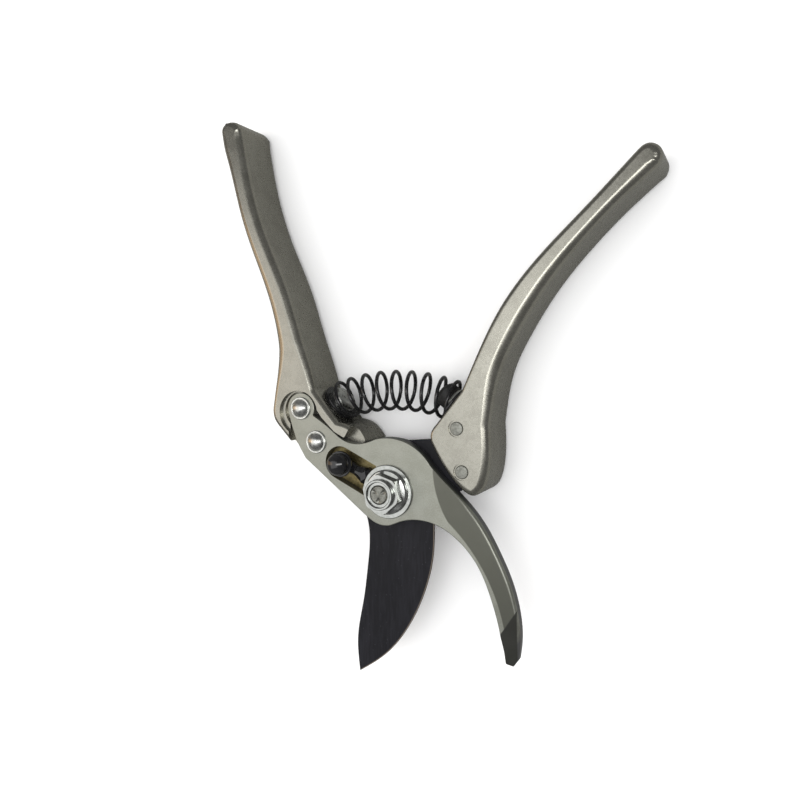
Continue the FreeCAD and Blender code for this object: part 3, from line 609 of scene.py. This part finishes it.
def make_materials():
    """Every finish on the shears."""
    return {
        "handle": finish_of("nickel handle", (0.35, 0.34, 0.295), (0.41, 0.40, 0.35), (0.24, 0.30), 0.95,
                            fine=1500.0, broad=180.0, bump=0.04),
        "plate": finish_of("hook plate steel", (0.30, 0.305, 0.262), (0.385, 0.392, 0.345), (0.32, 0.44), 0.9,
                           fine=2400.0, broad=160.0, bump=0.16, special=hook_ground_and_painted_shade),
        "blade": finish_of("blade coating", (0.006, 0.006, 0.009), (0.014, 0.014, 0.019), (0.50, 0.66), 0.0,
                           fine=1400.0, broad=90.0, stretch=(1, 0.12, 1), turn=12.0, bump=0.2,
                           speck=(900.0, 0.10, (0.05, 0.05, 0.06)), special=cutting_edge, shine=0.25),
        "chrome": finish_of("bright chrome", (0.44, 0.455, 0.43), (0.60, 0.61, 0.59), (0.14, 0.24), 1.0,
                            fine=700.0, broad=200.0, bump=0.015),
        "dome": finish_of("polished rivet dome", (0.60, 0.61, 0.58), (0.88, 0.89, 0.86), (0.24, 0.40), 1.0,
                          fine=1300.0, broad=500.0, bump=0.10),
        "rivet": finish_of("rivet steel", (0.17, 0.17, 0.15), (0.33, 0.335, 0.30), (0.28, 0.46), 0.9,
                           fine=2600.0, broad=700.0, bump=0.4),
        "brass": finish_of("slot floor", (0.13, 0.105, 0.045), (0.26, 0.215, 0.10), (0.30, 0.44), 0.8,
                           fine=1200.0, broad=150.0, bump=0.12),
        "catch": finish_of("gloss black catch", (0.006, 0.006, 0.007), (0.014, 0.014, 0.015),
                           (0.14, 0.24), 0.0, fine=900.0, bump=0.08, coat=0.5),
        "spring": finish_of("black spring wire", (0.006, 0.006, 0.007), (0.018, 0.018, 0.019),
                            (0.20, 0.34), 0.2, fine=1200.0, bump=0.10, coat=0.3),
        "rubber": finish_of("bumper rubber", (0.008, 0.008, 0.008), (0.020, 0.020, 0.020), (0.45, 0.62), 0.0,
                            fine=1600.0, bump=0.2),
    }


FINISH = make_materials()


# ---------------------------------------------------------------- handles and jaws

def facing(outline, degrees):
    """How far each point's outward side turns to a bearing, from 0 (away) to 1 (straight at it)."""
    aim = np.array([math.cos(math.radians(degrees)), math.sin(math.radians(degrees))])
    return np.clip(normals_of(outline) @ aim, 0, 1)


def grip_share(outline, start, degrees, reach):
    """0 at the base and 1 along the grip, smoothed over a reach in millimetres."""
    along = (outline - start) @ np.array([math.cos(math.radians(degrees)), math.sin(math.radians(degrees))])
    t = np.clip((along + reach * 0.5) / reach, 0, 1)
    return t * t * (3 - 2 * t)


def make_hook_handle():
    """The left handle, crowned on its outer side, with the stepped nest for the plate's end."""
    outline = left_outline()
    grip = grip_share(outline, LEFT_GRIP_START, LEFT_GRIP_ANGLE, 22.0)
    outer = facing(outline, LEFT_GRIP_ANGLE + 90)
    inner = spread(facing(outline, LEFT_GRIP_ANGLE - 100), 6)
    inset = 0.9 + 1.3 * inner + grip * (0.7 + 2.9 * outer) + 1.0 * (1 - grip) * outer
    piece = slab("hook_handle_shape", outline, HANDLE_LOW, HANDLE_HIGH, inset, inset)
    end = HOOK_RIVETS[0]
    nest = PLATE_END_RADIUS + 0.1
    thick = PLATE_HIGH - PLATE_LOW
    over = HANDLE_HIGH + 4
    floor = [arc(end, nest, 10.0, 195.0)]
    corners = [bearing(nest, 195.0, end), (-38.6, 12.6), (-30.0, 0.0), (0, 0), (0, 24.0), (-12.6, 24.0),
               (-16.6, 17.0), (-20.4, 18.9), (-25.4, 23.6), bearing(nest, 10.0, end)]
    floor += [straight(a, b) for a, b in zip(corners, corners[1:])]
    cutters = [prism(loop(floor), PLATE_LOW, over)]
    for step, share in ((2, 0.3), (1, 0.6)):
        wider = step * 1.1
        centre = bearing(wider * 0.9, 235.0, end)
        ring = arc(centre, nest + wider, 0, 360)[:-1]
        cutters.append(prism(ring, PLATE_HIGH - thick * share, over))
    for rivet in HOOK_RIVETS:
        cutters.append(prism(arc(rivet, 4.2, 0, 360, 0.5)[:-1], HANDLE_LOW - 3, HANDLE_LOW + RIVET_POCKET))
    cut(piece, cutters)
    soften(piece, 0.75, 4)
    place_piece(piece, "frame", "handle_nickel", FINISH["handle"], "hook_handle")


def make_blade_handle():
    """The right handle, crowned on its outer side, over the blade's tang."""
    outline = right_outline()
    grip = grip_share(outline, RIGHT_GRIP_START, RIGHT_GRIP_ANGLE, 30.0)
    heel = 0.6 * facing(outline, -85.0) * (1 - grip)
    outer = spread(np.maximum(facing(outline, RIGHT_GRIP_ANGLE - 90), heel), 12)
    inset = 1.0 + grip * (0.7 + 3.0 * outer) + 2.0 * (1 - grip) * outer
    piece = slab("blade_handle_shape", outline, HANDLE_LOW, HANDLE_HIGH, inset, inset)
    cutters = []
    for rivet in BLADE_RIVETS:
        cutters.append(prism(arc(rivet, 2.7, 0, 360, 0.3)[:-1], HANDLE_HIGH - 0.4, HANDLE_HIGH + 3))
        cutters.append(prism(arc(rivet, 4.3, 0, 360, 0.5)[:-1], HANDLE_LOW - 3, HANDLE_LOW + RIVET_POCKET))
    web = [(0, 16.6), (14.6, 18.0), (19.4, 25.0), (26.0, 14.0), (24.0, 2.6), (6.0, -10.4), (0, 0)]
    cutters.append(prism(polygon(web), BLADE_LOW - 0.05, BLADE_HIGH + 0.05))
    cut(piece, cutters)
    soften(piece, 0.2)
    place_piece(piece, "cutter", "handle_nickel", FINISH["handle"], "blade_handle")


def make_hook_plate():
    """The hook plate: rounded outer edge on the hook, a facet at its tip, and the lock slot."""
    outline = plate_outline()
    on_hook = np.clip((outline[:, 0] - 19) / 6, 0, 1) * np.clip((4 - outline[:, 1]) / 8, 0, 1)
    outside = facing(outline, 20.0) * on_hook
    inset = 0.3 + 1.0 * outside
    piece = slab("hook_plate_shape", outline, PLATE_LOW, PLATE_HIGH, inset, 0.25, steps=7)
    half = 5.6
    slot_start, slot_end = 7.4, 20.1
    side = LOCK_ANGLE - 90
    far = arc(bearing(slot_end, LOCK_ANGLE), half, LOCK_ANGLE - 90, LOCK_ANGLE + 90)
    near = [bearing(half, side + 180, bearing(slot_start, LOCK_ANGLE)),
            bearing(half, side, bearing(slot_start, LOCK_ANGLE))]
    slot_line = loop([far, straight(far[-1], near[0]), straight(near[0], near[1]), straight(near[1], far[0])],
                     step=0.35)
    ridge = facet_ridge()
    foot = [hook_point(50.0, 1.10), hook_point(36.0, 1.14)]
    top = PLATE_HIGH + 6
    drop = 2.6
    corners = [(*ridge[0], PLATE_HIGH), (*ridge[1], PLATE_HIGH), (*foot[1], PLATE_HIGH - drop),
               (*foot[0], PLATE_HIGH - drop)]
    upper = [(x, y, top) for x, y, _ in corners]
    facet = make_mesh("cutter", corners + upper,
                      [(0, 3, 2, 1), (4, 5, 6, 7), (0, 1, 5, 4), (1, 2, 6, 5), (2, 3, 7, 6), (3, 0, 4, 7)])
    recalculate(facet)
    cut(piece, [prism(slot_line, PLATE_LOW - 2, PLATE_HIGH + 2), facet])
    soften(piece, 0.12, 2)
    place_piece(piece, "frame", "plate_steel", FINISH["plate"], "hook_plate")


def recalculate(piece):
    """Turns every face of a closed piece outwards."""
    work = bmesh.new()
    work.from_mesh(piece.data)
    bmesh.ops.recalc_face_normals(work, faces=work.faces)
    work.to_mesh(piece.data)
    work.free()


def make_blade():
    """The blade: flat front with a honed line, a bevel behind the cutting curve, and its tang."""
    outline = blade_outline()
    count = len(outline)
    normals = normals_of(outline)
    low_jaw = np.clip((-8 - outline[:, 1]) / 4, 0, 1)
    cutting = spread(facing(outline, -35.0) * low_jaw, 4)
    cutting = np.clip(cutting * 2.2, 0, 1)
    from_tip = np.linalg.norm(outline - blade_point(-12.9, 1.0), axis=1)
    room = np.minimum(0.8 * room_inside(outline, normals), 0.45 * from_tip)
    bevel = 5.0
    levels = [(bevel, BLADE_LOW, 0.0), (0.0, BLADE_LOW + 3.0, 0.0), (0.0, BLADE_HIGH - 0.12, 0.0),
              (0.12, BLADE_HIGH, 1.0), (0.55, BLADE_HIGH, 0.0)]
    rings, marks = [], []
    for inset, height, honed in levels:
        wanted = np.minimum(inset * cutting + min(inset, 0.12) * (1 - cutting), room)
        rings.append(np.column_stack([outline - normals * wanted[:, None], np.full(count, height)]))
        marks.append(honed * cutting)
    piece = make_mesh("blade_shape", np.vstack(rings), closed_faces(len(rings), count), 25.0)
    honed = piece.data.attributes.new("honed", "FLOAT", "POINT")
    honed.data.foreach_set("value", np.concatenate(marks).astype(np.float32))
    place_piece(piece, "cutter", "blade_coating", FINISH["blade"], "blade")
    tang = [(0, 16.2), (15.0, 17.6), (20.5, 27.0), (27.5, 27.5), (31.5, 8.0), (26.0, 2.8), (6.0, -10.0),
            (0, 0)]
    neck = slab("blade_tang_shape", polygon(tang), BLADE_LOW + 0.01, BLADE_HIGH - 0.01, 0.15, 0.15, steps=4)
    place_piece(neck, "cutter", "blade_coating", FINISH["blade"], "blade")


# ---------------------------------------------------------------- pivot, rivets and lock

def dome(radius, base, height, count=12):
    """A spherical cap as (radius, height) points, from its rim to just off its top."""
    ball = (radius ** 2 + height ** 2) / (2 * height)
    lean = math.asin(min(1.0, radius / ball))
    angle = np.linspace(lean, 0.02, count)
    return np.stack([ball * np.sin(angle), base + height - ball + ball * np.cos(angle)], 1).tolist()


def rear_head():
    """A rivet's rear head in its pocket behind the handle, from its middle out to its rim."""
    seat = HANDLE_LOW + RIVET_POCKET
    cap = dome(REAR_HEAD_RADIUS, seat, REAR_HEAD_HEIGHT)
    return [(radius, 2 * seat - height) for radius, height in cap][::-1]


def make_rivets():
    """Two polished domes on the plate with a raised ring, and two peened tails on the blade handle."""
    seat = HANDLE_LOW + RIVET_POCKET
    face = PLATE_HIGH
    for name, spot in zip(("hook_rivet_upper", "hook_rivet_lower"), HOOK_RIVETS):
        shank = [(2.5, seat), (2.5, face)]
        ring = [(3.9, face + 0.02), (3.9, face + 0.45), (3.7, face + 0.6), (3.35, face + 0.6),
                (3.2, face + 0.45)]
        profile = rear_head() + shank + ring + dome(3.2, face + 0.45, 1.7)
        piece = lathe(name + "_shape", profile, (*spot, 0.0))
        place_piece(piece, "frame", "bright_chrome", FINISH["dome"], name)
    for name, spot in zip(("blade_rivet_upper", "blade_rivet_lower"), BLADE_RIVETS):
        top = HANDLE_HIGH - 0.05
        tail = [(2.2, seat), (2.2, top - 0.3), (1.95, top - 0.02), (1.2, top + 0.03), (0.05, top + 0.05)]
        profile = rear_head() + tail
        piece = lathe(name + "_shape", profile, (*spot, 0.0))
        place_piece(piece, "cutter", "rivet_steel", FINISH["rivet"], name)


def make_pivot():
    """The bolt, its washer, and the flanged hex nut whose corners are turned off in a cone."""
    shank, end = 4.0, 3.2

    def stake(radius, height, angle):
        star = np.maximum(0, np.cos(3 * angle)) ** 3
        near = np.clip(1 - np.abs(radius - 1.9) / 1.3, 0, 1)
        return radius, height - 0.35 * star * near * (height > BOLT_TOP - 0.05)

    crown = [(radius, BOLT_TOP) for radius in np.linspace(end - 0.5, 0.05, 12)]
    bolt = [(0.05, HEAD_LOW), (7.2, HEAD_LOW), (8.0, HEAD_LOW + 0.8), (8.0, HEAD_LOW + 4.0),
            (shank, HEAD_LOW + 4.0), (shank, WASHER_TOP), (end, WASHER_TOP), (end, BOLT_TOP - 0.5)] + crown
    place_piece(lathe("pivot_bolt_shape", bolt, (0, 0, 0), ripple=stake), "frame", "rivet_steel",
                FINISH["rivet"], "pivot_bolt")
    washer = [(shank, PLATE_HIGH), (WASHER_RADIUS - 0.2, PLATE_HIGH), (WASHER_RADIUS, PLATE_HIGH + 0.2),
              (WASHER_RADIUS, WASHER_TOP - 0.2), (WASHER_RADIUS - 0.2, WASHER_TOP), (shank, WASHER_TOP)]
    place_piece(lathe("pivot_washer_shape", washer, (0, 0, 0), hollow=True), "frame", "bright_chrome",
                FINISH["chrome"], "pivot_washer")
    across = 5.8
    turn = math.radians(12.0)
    hex_low = WASHER_TOP + 1.3
    hex_high = NUT_TOP - 1.6

    def six_sides(radius, height, angle):
        side = np.mod(angle - turn, math.pi / 3) - math.pi / 6
        flat = across / np.cos(side)
        wide = (radius > 5.5) & (height > hex_low - 0.01)
        cone = across + 0.95 - np.maximum(0, height - (hex_high - 0.5)) * 0.8
        return np.where(wide, np.minimum(flat, cone), radius), height

    hexes = [(6.6, z) for z in np.linspace(hex_low, hex_high, 9)]
    nut = [(end, WASHER_TOP), (7.2, WASHER_TOP), (7.4, WASHER_TOP + 0.2), (7.4, WASHER_TOP + 0.7),
           (7.0, WASHER_TOP + 1.1)] + hexes + [(5.1, hex_high + 0.02), (5.0, hex_high + 0.1),
           (5.0, NUT_TOP - 0.25), (4.8, NUT_TOP), (4.3, NUT_TOP), (4.1, NUT_TOP - 0.2), (4.0, NUT_TOP - 0.75),
           (end, NUT_TOP - 0.75)]
    piece = lathe("pivot_nut_shape", nut, (0, 0, 0), around=180, ripple=six_sides, smooth_below=14.0,
                  hollow=True)
    place_piece(piece, "frame", "bright_chrome", FINISH["chrome"], "pivot_nut")


def lock_bar(name, first, last, first_half, last_half, low, high, inset, depth):
    """A bar along the lock's line, rounded at both ends, with flat facets round its top."""
    near, far = bearing(first, LOCK_ANGLE), bearing(last, LOCK_ANGLE)
    side = LOCK_ANGLE - 90
    outline = loop([arc(far, last_half, side, side + 180, 0.2),
                    straight(bearing(last_half, side + 180, far), bearing(first_half, side + 180, near)),
                    arc(near, first_half, side + 180, side + 360, 0.2),
                    straight(bearing(first_half, side, near), bearing(last_half, side, far))], step=0.25)
    bar = slab(name, outline, low, high, inset, 0.1, depth, 0.1, steps=2)
    place_piece(bar, "catch", "lock_black", FINISH["catch"], "lock_slide")


def make_lock():
    """The catch: a narrow waist and a faceted tail that covers the pin, with a ball knob on collar rings."""
    base = PLATE_LOW + 0.65
    lock_bar("lock_waist_shape", 12.6, 18.6, 1.5, 2.0, base, PLATE_HIGH - 1.2, 0.5, 0.5)
    lock_bar("lock_tail_shape", 10.6, 13.4, 2.9, 1.9, base, PLATE_HIGH - 0.1, 1.7, 1.5)
    pin_low = node_box("lock_pin")[0][2]
    pin = [(0.05, pin_low), (1.2, pin_low), (1.5, pin_low + 0.3), (1.5, base + 0.5), (0.05, base + 0.5)]
    place_piece(lathe("lock_pin_shape", pin, (*PIN_PLACE, 0.0), around=48), "catch", "rivet_steel",
                FINISH["rivet"], "lock_pin")
    foot = PLATE_HIGH + 0.3
    tall = KNOB_TOP - PLATE_HIGH
    ball = KNOB_RADIUS - 0.6
    middle = PLATE_HIGH + tall * 0.52
    globe = [(ball * math.cos(q), middle + (KNOB_TOP - middle) * math.sin(q))
             for q in np.linspace(-0.55, math.pi / 2 - 0.02, 22)]
    stem = [(0.05, PLATE_HIGH - 0.05), (2.8, PLATE_HIGH - 0.05), (2.8, foot)]
    collar = [(4.2, foot), (4.4, foot + 0.2), (4.4, foot + 0.8), (4.2, foot + 1.0), (3.6, foot + 1.05),
              (3.3, foot + 1.3), (3.3, foot + 1.5)]
    knob = lathe("lock_knob_shape", stem + collar + globe, (*KNOB_PLACE, 0.0), around=128)
    place_piece(knob, "catch", "lock_black", FINISH["catch"], "lock_knob")


# ---------------------------------------------------------------- spring and its seats

def make_seats():
    """Black ring and chrome peg on each handle, and the rubber bumper on the blade handle's peg."""
    for side, body, seat, degrees in (("left", "frame", LEFT_SEAT, LEFT_SEAT_ANGLE),
                                      ("right", "cutter", RIGHT_SEAT, RIGHT_SEAT_ANGLE)):
        place = (*seat, HANDLE_MIDDLE)
        axis = (*bearing(1.0, degrees), 0.0)
        ring = [(4.65, 0.0), (6.7, 0.0), (6.9, 0.2), (6.9, 0.6), (6.6, 0.75), (6.9, 0.9), (6.9, 1.3),
                (6.6, 1.6), (4.65, 1.6)]
        place_piece(lathe(side + "_seat_ring_shape", ring, place, axis, hollow=True), body, "spring_black",
                    FINISH["spring"], side + "_seat_ring")
        tall = 4.2 if side == "left" else 3.2
        peg = [(0.05, 0.0), (4.6, 0.0), (4.6, tall * 0.55), (4.4, tall * 0.6), (4.4, tall * 0.68),
               (4.6, tall * 0.73), (4.6, tall - 0.6), (4.0, tall), (0.05, tall)]
        place_piece(lathe(side + "_spring_peg_shape", peg, place, axis), body, "bright_chrome",
                    FINISH["dome"], side + "_spring_peg")
    place = (*RIGHT_SEAT, HANDLE_MIDDLE)
    axis = (*bearing(1.0, RIGHT_SEAT_ANGLE), 0.0)
    bumper = [(0.05, 3.2), (4.2, 3.2), (4.2, 6.4)] + dome(4.2, 6.4, 1.8)
    place_piece(lathe("spring_bumper_shape", bumper, place, axis), "cutter", "bumper_rubber",
                FINISH["rubber"], "spring_bumper")


def circle_through(first, middle, last):
    """The centre of the circle through three points, from their equal distances."""
    rows = 2 * np.array([middle - first, last - first])
    right = np.array([middle @ middle - first @ first, last @ last - first @ first])
    return np.linalg.solve(rows, right)


def make_spring():
    """A wire tube along a helix on an arched centre line. The centre line's angle runs with the share s,
    the coil's angle is 2 pi times the turns wound so far, closer together at both ends, and the wire's
    section lies across the helix's own direction."""
    wire, coil, open_turns, lift = 0.62, 6.35, 7.5, 2.2
    start = bearing(lift, LEFT_SEAT_ANGLE, LEFT_SEAT)
    end = bearing(lift, RIGHT_SEAT_ANGLE, RIGHT_SEAT)
    crest = np.array([(start[0] + end[0]) / 2, 33.0])
    centre = circle_through(start, crest, end)
    radius = np.linalg.norm(start - centre)
    first = math.atan2(*(start - centre)[::-1])
    last = math.atan2(*(end - centre)[::-1])
    share = np.linspace(0, 1, 1100)
    angle = first + share * (last - first)
    outward = np.stack([np.cos(angle), np.sin(angle), np.zeros_like(angle)], 1)
    wound = np.interp(share, [0, 0.03, 0.97, 1], [0, 0.6, 0.6 + open_turns, 1.2 + open_turns])
    eased = np.convolve(np.pad(wound, 30, mode="reflect", reflect_type="odd"), np.ones(61) / 61, mode="valid")
    turn = 2 * np.pi * (eased - 0.3)
    line = np.array([*centre, HANDLE_MIDDLE]) + outward * (radius + coil * np.cos(turn))[:, None]
    line[:, 2] += coil * np.sin(turn)
    along = np.gradient(line, axis=0)
    along /= np.linalg.norm(along, axis=1)[:, None]
    spoke = outward * np.cos(turn)[:, None]
    spoke[:, 2] += np.sin(turn)
    spoke -= along * np.sum(spoke * along, axis=1)[:, None]
    spoke /= np.linalg.norm(spoke, axis=1)[:, None]
    other = np.cross(along, spoke)
    wire_sides = 16
    round_wire = np.linspace(0, 2 * np.pi, wire_sides, endpoint=False)
    section = (np.cos(round_wire)[None, :, None] * spoke[:, None] +
               np.sin(round_wire)[None, :, None] * other[:, None])
    points = (line[:, None] + wire * section).reshape(-1, 3)
    piece = make_mesh("return_spring_shape", points, closed_faces(len(line), wire_sides))
    piece.data.materials.append(FINISH["spring"])
    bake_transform(piece)
    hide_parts("return_spring")


def finish_kept_nodes():
    """The slot's floor keeps its CAD shape, with its own finish."""
    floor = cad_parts["lock_track"]
    floor.data.materials.clear()
    floor.data.materials.append(FINISH["brass"])


# ---------------------------------------------------------------- floor, lights and camera

def studio_share(tree):
    """1 for rays that leave a glossy surface, which see a darker studio, and 0 for the rest."""
    return add(tree, "ShaderNodeLightPath").outputs["Is Glossy Ray"]


def make_stage():
    """A plain pale floor under the handles' backs. In the metal it shows as a darker studio floor."""
    bpy.ops.mesh.primitive_plane_add(size=6.0, location=(0, 0, (HANDLE_LOW - 0.3) * MM))
    floor = bpy.context.object
    floor.name = "floor"
    material = bpy.data.materials.new("pale floor")
    material.use_nodes = True
    tree = material.node_tree
    shader = tree.nodes["Principled BSDF"]
    tone = blend_colour(tree, studio_share(tree), (0.95, 0.95, 0.95, 1), (0.25, 0.25, 0.24, 1))
    tree.links.new(tone, shader.inputs["Base Color"])
    shader.inputs["Roughness"].default_value = 0.9
    floor.data.materials.append(material)


def soft_light(name, direction, away, wide, high, radiance, colour=(1, 1, 1)):
    """A rectangular light at a bearing and tilt from straight above, as bright as its radiance says."""
    around, tilt = (math.radians(degrees) for degrees in direction)
    towards = (math.sin(tilt) * math.cos(around), math.sin(tilt) * math.sin(around), math.cos(tilt))
    spot = Vector(towards) * away
    lamp = bpy.data.lights.new(name, "AREA")
    lamp.shape = "RECTANGLE"
    lamp.size, lamp.size_y = wide, high
    lamp.energy = radiance * math.pi * wide * high
    lamp.color = colour
    light = bpy.data.objects.new(name, lamp)
    aim = Vector((0, 0.03, 0))
    light.location = aim + spot
    light.rotation_euler = (-spot).to_track_quat("-Z", "Y").to_euler()
    bpy.context.scene.collection.objects.link(light)


def make_lights():
    """A large soft light over the left, a strip over the right, a warm card at the left, a pale surround."""
    bpy.context.scene.view_settings.view_transform = "Standard"
    world = bpy.data.worlds.new("surround")
    bpy.context.scene.world = world
    world.use_nodes = True
    tree = world.node_tree
    tone = blend_colour(tree, studio_share(tree), (0.95, 0.95, 0.95, 1), (0.13, 0.13, 0.13, 1))
    tree.links.new(tone, tree.nodes["Background"].inputs["Color"])
    soft_light("overhead", (188.0, 30.0), 0.8, 0.62, 0.80, 0.98)
    soft_light("right strip", (8.0, 16.0), 0.8, 0.15, 0.80, 5.6)
    soft_light("warm card", (180.0, 68.0), 0.8, 0.22, 0.8, 0.9, (1.0, 0.66, 0.36))


def make_camera():
    """A camera turned from straight above by the tilt, towards the blade handle's side."""
    aim = np.array([4.38, 30.35, PLATE_HIGH])
    around, tilt, away = math.radians(7.96), math.radians(25.63), 243.4
    back = np.array([math.sin(tilt) * math.cos(around), math.sin(tilt) * math.sin(around), math.cos(tilt)])
    right = np.cross((0.0, 1.0, 0.0), back)
    right /= np.linalg.norm(right)
    up = np.cross(back, right)
    spot = (aim + away * back) * MM
    data = bpy.data.cameras.new("camera")
    data.lens = 33.75
    data.sensor_width = 36.0
    data.clip_start = 0.01
    camera = bpy.data.objects.new("camera", data)
    rows = Matrix((right, up, back)).transposed().to_4x4()
    camera.matrix_world = Matrix.Translation(spot) @ rows
    bpy.context.scene.collection.objects.link(camera)
    bpy.context.scene.camera = camera


make_hook_handle()
make_blade_handle()
make_blade()
make_hook_plate()
make_rivets()
make_pivot()
make_lock()
make_seats()
make_spring()
finish_kept_nodes()
make_stage()
make_lights()
make_camera()
